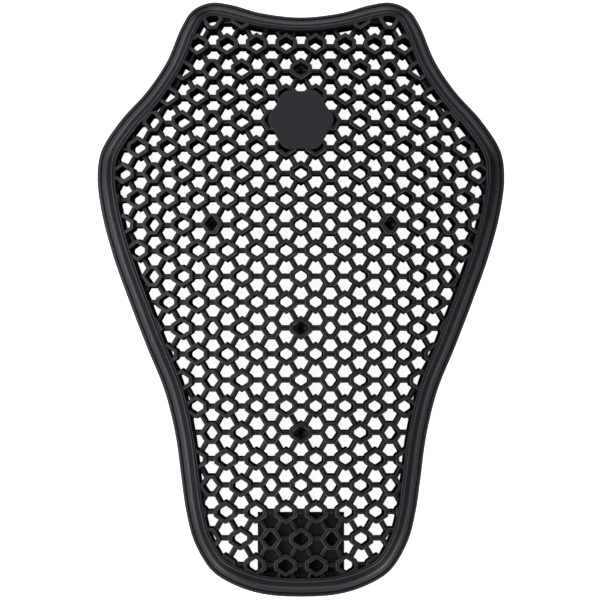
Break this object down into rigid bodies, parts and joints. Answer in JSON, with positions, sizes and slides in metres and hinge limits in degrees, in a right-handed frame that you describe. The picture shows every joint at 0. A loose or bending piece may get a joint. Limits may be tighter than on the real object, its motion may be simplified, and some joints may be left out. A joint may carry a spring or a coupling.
{
  "type": "back protector insert",
  "caption": "Back protector panel: a curved elastomer net of hexagonal cells and ribs inside a raised border rim, with a bare badge plate and a patch on its back.",
  "frame": {"origin": "under the middle of the panel, on the surface that its rim rests on", "axes": "+X across the back to the picture's right, +Y up the back towards the shoulders, +Z out of the convex side, away from the wearer"},
  "size_m": [0.3038, 0.4434, 0.0289],
  "materials": {
    "moulded_elastomer": "satin black, moulded",
    "badge_elastomer": "matte black, finely textured",
    "patch_elastomer": "matte black, smooth"
  },
  "bodies": {
    "root": {"border_rim": "moulded_elastomer", "cell_lattice": "moulded_elastomer", "badge_plate": "badge_elastomer", "back_patch": "patch_elastomer"}
  },
  "joints": []
}
